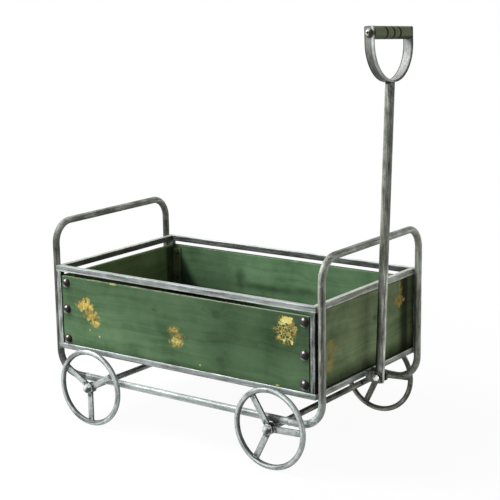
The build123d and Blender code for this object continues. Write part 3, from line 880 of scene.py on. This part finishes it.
def boltMetal(name, dark, rubbed, metallic, roughness, tones=()):
    material, sheet = newFinish(name)
    spot = sheet.spot()
    clouds = sheet.noise(spot, 240.0, 4.0, 0.6)
    grit = sheet.noise(spot, 900.0, 3.0, 0.6)
    rounded = sheet.rounded(bolt["edgeRadius"])
    rub = (clouds * 1.2 + grit * 0.4 - 0.55).step(0.1, 0.7).most(sheet.edges(rounded) * 0.8)
    colour = sheet.mix(rub, dark, rubbed)
    for piece in tones:
        level = piece(sheet, spot, spot.out("Normal"))
        colour = sheet.dim(colour, level)
        metallic = metallic * level
    closeFinish(sheet, {
        "Base Color": colour,
        "Metallic": metallic,
        "Roughness": roughness + 0.14 * grit,
        "Specular IOR Level": 0.1,
    }, clouds * 0.4 + grit * 0.4, rounded, bolt["bumpDepth"], 0.5)
    return material


dress(domeMetal("dark dome bolts", bolt["dark"], bolt["brown"], bolt["pewter"]),
      "right_dome_bolts", "left_dome_bolts")
dress(domeMetal("grey wheel nuts", bolt["nutDark"], bolt["nut"], bolt["nut"]), "cap_nuts")
dress(boltMetal("bright bolt steel", bolt["pivotDark"], bolt["pivot"], 0.92, 0.38), "pivot_bolt", "pivot_nut")
dress(boltMetal("bright screw steel", bolt["screwDark"], bolt["screw"], 0.45, 0.16, [screwSlotShade]),
      "grip_screws")
print("bolts, nuts and screws")

# Grip: turned wood with an olive stain, darker in its grooves and at its ends, with painted shade underneath
# and at its far end
grip = {
    "light": paint(122, 132, 100),
    "stain": paint(92, 101, 71),
    "dark": paint(24, 29, 15),
    "grooves": (-0.021, 0.0, 0.019),  # along the grip, from its middle
    "grooveEdge": (0.0018, 0.0034),
    "edgeRadius": 0.0009,
    "bumpDepth": 0.0003,
}


def gripWood(name):
    material, sheet = newFinish(name)
    low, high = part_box("handle_grip")
    halfLength = (high.y - low.y) / 2
    spot = sheet.spot()
    local = sheet.vector("SUBTRACT", spot, (low + high) / 2)
    along = sheet.part(local, "Y")
    grain = sheet.noise(sheet.vector("MULTIPLY", local, (420.0, 26.0, 420.0)), 1.0, 4.0, 0.6)
    clouds = sheet.noise(spot, 60.0, 4.0, 0.6)
    groove = 0.0
    for centre in grip["grooves"]:
        groove = groove + (1 - abs(along - centre).step(*grip["grooveEdge"]))
    ends = abs(along).step(halfLength - 0.003, halfLength - 0.0005)
    colour = sheet.mix((grain * 0.8 + clouds * 0.8 - 0.3).least(1.0), grip["stain"], grip["light"])
    under = (0 - sheet.dot(spot.out("Normal"), skyward)).step(0.1, 0.8)
    farEnd = along.step(halfLength - 0.006, halfLength - 0.002)
    hidden = groove.most(ends * 0.8).most(farEnd).most(under * (0.6 + 0.4 * along.step(0.0, 0.03)))
    colour = sheet.mix(hidden.least(1.0) * 0.95, colour, grip["dark"])
    closeFinish(sheet, {
        "Base Color": colour,
        "Roughness": 0.5 + 0.2 * grain,
        "Specular IOR Level": 0.15,
    }, grain, sheet.rounded(grip["edgeRadius"]), grip["bumpDepth"], 0.5)
    return material


dress(gripWood("olive grip wood"), "handle_grip")
print("grip")

# Welds: short lumpy beads where bars meet
weld = {
    "full": 0.0019,  # radius of a whole bead
    "girths": {"leg": 0.9, "corner": 0.62, "butt": 0.55, "axle": 0.9, "hinge": 0.8, "bearer": 0.7,
               "spoke": 0.62, "bowRing": 0.7, "bowArm": 0.75},  # parts of it
    "ripple": 0.0013,
    "sides": 8,
    "inset": 0.001,  # how far a bead stops short of an edge
    "sunk": 0.0004,  # and lies off the joint's line
    "barSize": 0.01,  # square bar of the cage
    "legSide": 0.8,  # where the beads lie beside a hoop's leg, as a part of its radius
    "bearerWidth": 0.02,
    "underRail": 0.0042,  # from an axle's middle to the beads that hold it
    "axleDrop": 0.0052,  # and from its top down to them
    "axleLine": ((-0.0052, 0.0), (0.0, 0.0006), (0.0052, 0.0)),  # along the axle, and up
    "spokeHalf": 0.0048,
    "spokeFace": 0.0016,
    "spokeRest": {"front_right": 3.0, "front_left": 4.0, "rear_right": 30.0, "rear_left": 55.0},
    "bowRing": 0.0064,
    "bowLine": ((0.002, -0.0066, -0.0012), (0.002, -0.0138, 0.0004)),  # from the foot, under the near arm
}
weldMetal = antiqueMetal("weld metal", anyWay, -0.12)
# near black, as painted shade at the bow's foot
shadeDarkWeld = antiqueMetal("shade-dark weld metal", anyWay, -0.4, 0.16, "warm")
steady = random.Random(11)


def bead(shape, joint, points, closed=False):  # one bead along a line of points, in overlapping ripples
    girth = weld["full"] * weld["girths"][joint]
    line = [Vector(point) for point in points]
    if closed:
        line.append(line[0])
    spans = [(b - a).length for a, b in zip(line, line[1:])]
    steps = max(4, int(sum(spans) / (weld["ripple"] * 0.5)))
    rings = []
    for number in range(steps + (0 if closed else 1)):
        goal = sum(spans) * number / steps
        leg = 0
        while leg < len(spans) - 1 and goal > spans[leg]:
            goal -= spans[leg]
            leg += 1
        along = (line[leg + 1] - line[leg]).normalized()
        centre = line[leg] + along * goal
        side = along.orthogonal().normalized()
        other = along.cross(side)
        swell = 0.86 + 0.14 * math.cos(number * math.pi) + steady.uniform(-0.1, 0.1)
        if not closed:
            swell *= math.sin(math.pi * (0.14 + 0.72 * number / steps)) ** 0.5
        ring = []
        for turn in range(weld["sides"]):
            angle = 2 * math.pi * turn / weld["sides"]
            reach = girth * swell * (1 + steady.uniform(-0.09, 0.09))
            ring.append(shape.verts.new(centre + (side * math.cos(angle) + other * math.sin(angle)) * reach))
        rings.append(ring)
    for one, two in zip(rings, rings[1:] + (rings[:1] if closed else [])):
        for turn in range(weld["sides"]):
            after = (turn + 1) % weld["sides"]
            shape.faces.new((one[turn], one[after], two[after], two[turn]))
    if not closed:
        shape.faces.new(rings[0])
        shape.faces.new(rings[-1])


def ringOf(centre, across, up, radius, count=24):
    centre, across, up = Vector(centre), Vector(across), Vector(up)
    angles = [2 * math.pi * number / count for number in range(count)]
    return [centre + across * radius * math.cos(angle) + up * radius * math.sin(angle) for angle in angles]


def weldPiece(name, shape, body="frame", finish=weldMetal):
    bmesh.ops.recalc_face_normals(shape, faces=shape.faces)
    mesh = bpy.data.meshes.new(name)
    shape.to_mesh(mesh)
    shape.free()
    mesh.shade_smooth()
    mesh.materials.append(finish)
    piece = placed(name, mesh)
    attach(piece, body)


inset, sunk, barSize = weld["inset"], weld["sunk"], weld["barSize"]
railLow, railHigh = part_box("front_top_rail")
bottomLow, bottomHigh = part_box("front_bottom_rail")
lowerLow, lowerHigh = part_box("right_lower_rail")
tubeRadius = (lowerHigh.z - lowerLow.z) / 2
cageEnd = railHigh.x - cageMiddle  # from the cage's middle to its end face
legY = (lowerLow.y + lowerHigh.y) / 2
fourCorners = [(end, side) for end in (1, -1) for side in (1, -1)]

# hoop legs to the cage's end rails, on both sides of each leg
shape = bmesh.new()
for end, side in fourCorners:
    for low, high in ((railLow.z, railHigh.z), (bottomLow.z, bottomHigh.z)):
        for edge in (1, -1):
            x = cageMiddle + end * (cageEnd + inset)
            y = side * legY + edge * tubeRadius * weld["legSide"]
            bead(shape, "leg", [(x, y, low + inset), (x, y, high - inset)])
weldPiece("hoop_leg_welds", shape)

# cage corners, where each post meets its rails
shape = bmesh.new()
for end, side in fourCorners:
    for z in (railLow.z, bottomHigh.z):
        x = cageMiddle + end * (cageEnd - barSize)
        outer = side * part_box("front_left_post")[1].y
        inner = outer - side * barSize
        bead(shape, "corner", [(x, inner - side * inset / 2, z), (x, outer - side * inset, z)])
        bead(shape, "corner", [(x + end * inset, inner, z), (x + end * (barSize - inset), inner, z)])
weldPiece("cage_corner_welds", shape)

# lower rails butted to the hoops' feet, and the axles hung under them
shape = bmesh.new()
axleX = {1: middleOf("front_axle").x, -1: middleOf("rear_axle").x}
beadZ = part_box("front_axle")[1].z - weld["axleDrop"]
for side in (1, -1):
    for end, face in ((1, lowerHigh.x), (-1, lowerLow.x)):
        butt = (face, side * legY, (lowerLow.z + lowerHigh.z) / 2)
        bead(shape, "butt", ringOf(butt, (0, 1, 0), (0, 0, 1), tubeRadius - sunk), True)
        for edge in (1, -1):
            x = axleX[end] + edge * weld["underRail"]
            bead(shape, "axle", [(x, side * legY + out, beadZ + rise) for out, rise in weld["axleLine"]])
weldPiece("lower_rail_welds", shape)

# hinge plates to the front rail
shape = bmesh.new()
for name in ("right_clevis_plate", "left_clevis_plate"):
    low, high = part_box(name)
    foot = max(low.z, bottomLow.z) + inset
    head = min(high.z, bottomHigh.z) - inset
    for y in (low.y, high.y):
        bead(shape, "hinge", [(bottomHigh.x, y, foot), (bottomHigh.x, y, head)])
weldPiece("hinge_plate_welds", shape)

# floor bearers to the side rails
shape = bmesh.new()
low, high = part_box("floor_bearers")
halfBearer = weld["bearerWidth"] / 2
for x in (low.x + halfBearer, cageMiddle, high.x - halfBearer):
    for y in (low.y, high.y):
        bead(shape, "bearer", [(x - halfBearer * 0.8, y, low.z), (x + halfBearer * 0.8, y, low.z)])
weldPiece("bearer_welds", shape)

# spokes to rim and hub, two beads at each end
for corner in corners:
    low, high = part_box(corner + "_rim")
    hubLow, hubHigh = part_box(corner + "_hub")
    centre = (low + high) / 2
    rimInner = (high.z - low.z) / 2 - (high.y - low.y)
    hubRadius = (hubHigh.z - hubLow.z) / 2
    shape = bmesh.new()
    for third in range(3):
        angle = math.radians(weld["spokeRest"][corner] + 120 * third)
        outward = Vector((math.cos(angle), 0, math.sin(angle)))
        halfSpoke = Vector((-math.sin(angle), 0, math.cos(angle))) * weld["spokeHalf"]
        for reach in (rimInner - sunk, hubRadius + sunk):
            for face in (1, -1):
                middle = centre + outward * reach + Vector((0, face * weld["spokeFace"], 0))
                bead(shape, "spoke", [middle - halfSpoke, middle + halfSpoke])
    weldPiece(corner + "_spoke_welds", shape, corner + "_wheel")

# bow to the pull tube: a weld ring coloured near black as painted shade, and a dark bead under the near arm
# that stands in for the shade there
shape = bmesh.new()
low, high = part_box("handle_bow")
foot = Vector((high.x - pull["strapWidth"] / 2, 0.0, low.z + sunk))
bead(shape, "bowRing", ringOf(foot, (1, 0, 0), (0, 1, 0), weld["bowRing"]), True)
bead(shape, "bowArm", [foot + Vector(point) for point in weld["bowLine"]])
weldPiece("bow_foot_weld", shape, "handle", shadeDarkWeld)
print("welds")

# Floor, light and camera
stand = {
    "size": 12.0,
    "bounce": paint(160, 160, 158),
    "seen": (0.97, 0.97, 0.97, 1.0),
    "gap": 0.0004,  # under the wheels
    "shadowReach": (0.35, 0.95),
    "white": (1.0, 1.0, 1.0, 1.0),
    "worldLight": 0.24,
}


def seenRays(sheet):  # 1 where the camera, a reflection or glass looks at the backdrop
    path = sheet.add("LightPath")
    return path.out("Is Camera Ray").most(path.out("Is Glossy Ray")).most(path.out("Is Transmission Ray"))


floorMesh = bpy.data.meshes.new("pale floor")
shape = bmesh.new()
bmesh.ops.create_grid(shape, x_segments=4, y_segments=4, size=stand["size"] / 2)
shape.to_mesh(floorMesh)
shape.free()
floor = placed("pale_floor", floorMesh)
floor.location.z = cadBox[0][2] - stand["gap"]
floorFinish, sheet = newFinish("pale floor paper")
seen = seenRays(sheet)
paper = sheet.add("BsdfDiffuse", {"Color": sheet.mix(seen, stand["bounce"], stand["seen"])})
glow = sheet.add("Emission", {"Color": stand["white"], "Strength": 1.0})
fade = sheet.length(sheet.spot()).step(*stand["shadowReach"])
surface = sheet.add("MixShader", {0: seen * (0.95 + 0.05 * fade), 1: paper, 2: glow})
sheet.add("OutputMaterial", {"Surface": surface})
floorMesh.materials.append(floorFinish)

lamps = {
    # name: (direction from the object, distance, width, height, watts)
    "soft key": ((-0.52, -0.38, 0.77), 1.8, 0.95, 0.95, 35.0),
    "side fill": ((-0.08, -1.0, 0.3), 2.4, 1.4, 0.9, 18.0),
    "low strip": ((0.86, 0.5, -0.03), 2.4, 2.8, 0.3, 12.0),
}
aim = Vector((cageMiddle, 0.0, 0.22))
for name, (towards, distance, width, height, watts) in lamps.items():
    lamp = bpy.data.lights.new(name, "AREA")
    lamp.shape = "RECTANGLE"
    lamp.size, lamp.size_y, lamp.energy = width, height, watts
    holder = placed(name, lamp)
    holder.location = aim + Vector(towards).normalized() * distance
    holder.rotation_euler = (aim - holder.location).to_track_quat("-Z", "Y").to_euler()

world = bpy.data.worlds.new("white studio")
world.use_nodes = True
bpy.context.scene.world = world
sheet = Sheet(world.node_tree)
strength = stand["worldLight"] + (1 - stand["worldLight"]) * seenRays(sheet)
sky = sheet.add("Background", {"Color": stand["white"], "Strength": strength})
sheet.add("OutputWorld", {"Surface": sky})

shot = {
    "place": (cageMiddle + 1.32577, -1.78485, 0.77974),
    "yaw": 35.9233,
    "pitch": 12.2061,
    "roll": 0.8615,
    "lens": 96.428,
}
yaw, pitch, roll = (math.radians(shot[turn]) for turn in ("yaw", "pitch", "roll"))
ahead = Vector((-math.sin(yaw) * math.cos(pitch), math.cos(yaw) * math.cos(pitch), -math.sin(pitch)))
level = Vector((math.cos(yaw), math.sin(yaw), 0.0))
below = ahead.cross(level)
rightward = level * math.cos(roll) + below * math.sin(roll)
downward = below * math.cos(roll) - level * math.sin(roll)
lens = bpy.data.cameras.new("photo view")
lens.sensor_width = 36.0
lens.lens = shot["lens"]
camera = placed("photo view", lens)
turned = Matrix((rightward, -downward, -ahead)).transposed().to_4x4()
camera.matrix_world = Matrix.Translation(shot["place"]) @ turned
bpy.context.scene.camera = camera
bpy.context.scene.view_settings.view_transform = "Standard"
print("floor, lamps and camera")
